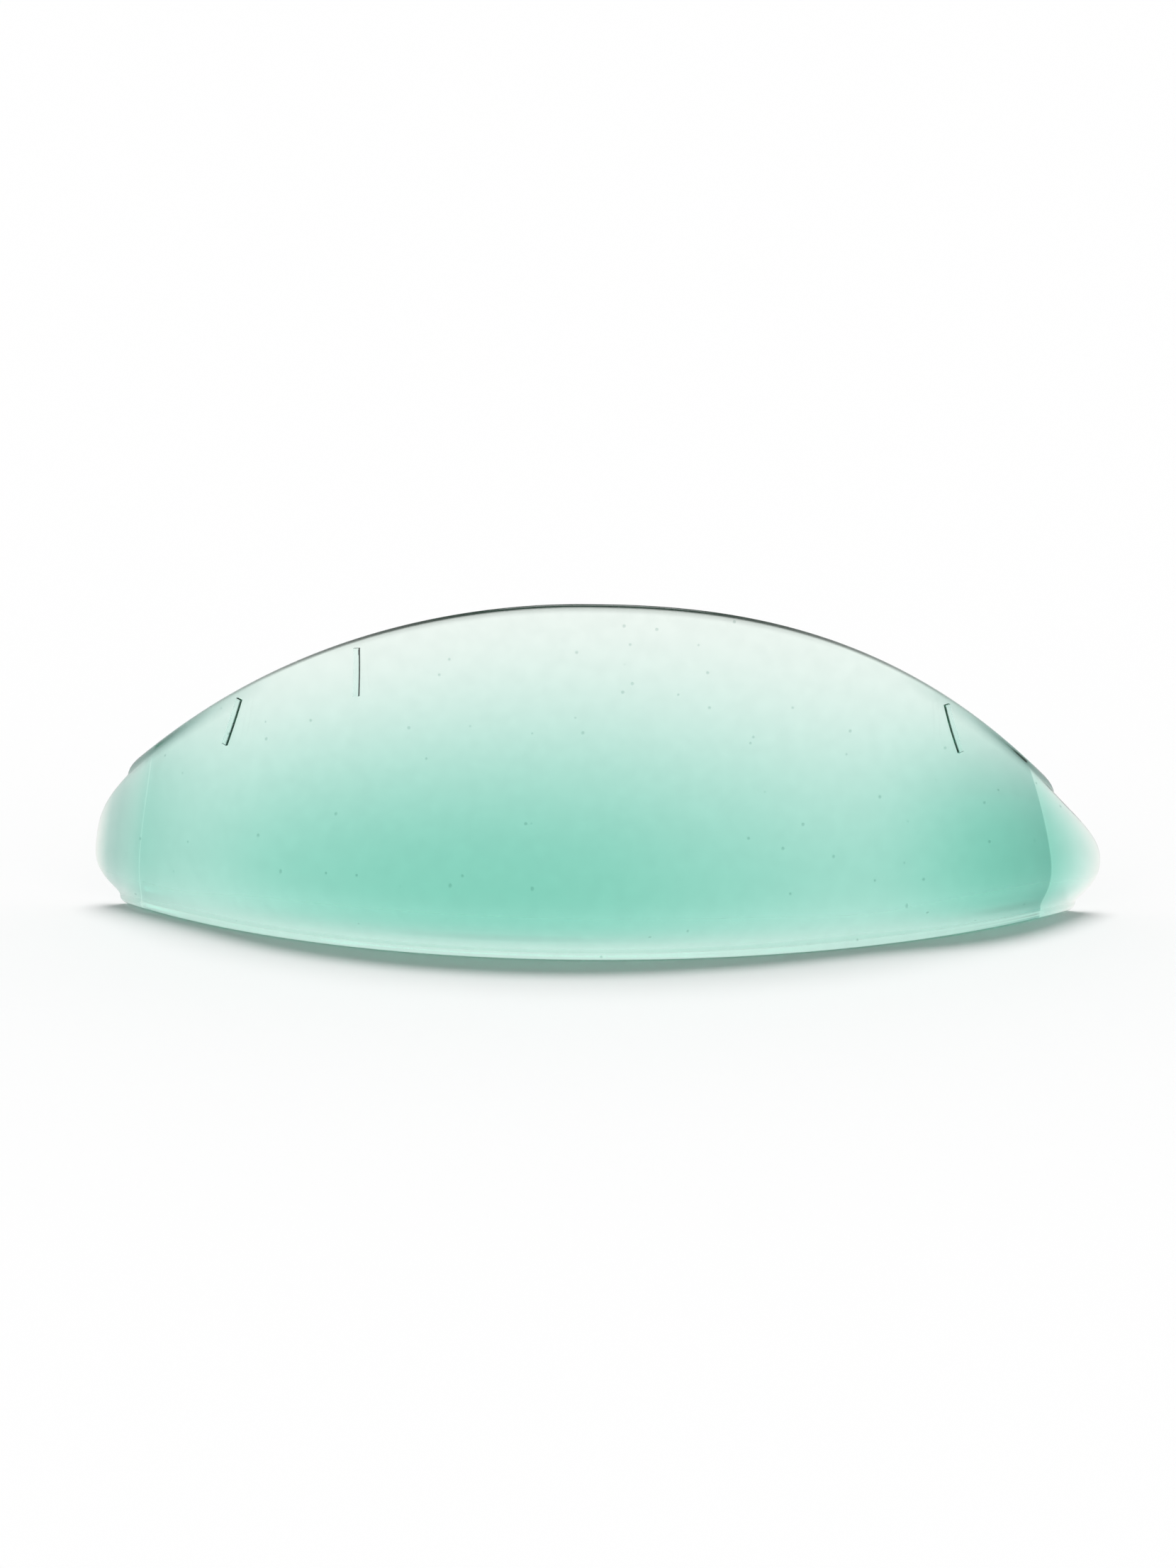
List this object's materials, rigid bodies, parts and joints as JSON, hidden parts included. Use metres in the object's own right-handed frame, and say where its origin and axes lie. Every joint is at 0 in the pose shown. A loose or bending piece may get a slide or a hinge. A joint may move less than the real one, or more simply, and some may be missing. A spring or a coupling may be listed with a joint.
{
  "type": "silicone eyelash lift shield",
  "caption": "Half-moon silicone pad, convex in front and hollow behind, that lies on a closed eyelid so the lashes can be combed up over its ridge.",
  "frame": {"origin": "middle of the underside of the bounding box, on the plane the lash edge stands on", "axes": "+X across the shield, -Y the way its convex front looks, +Z from the lash edge up to the rim"},
  "size_m": [0.038, 0.0104, 0.0132],
  "materials": {
    "silicone": "satin"
  },
  "bodies": {
    "root": {"silicone_shield": "silicone"}
  },
  "joints": []
}
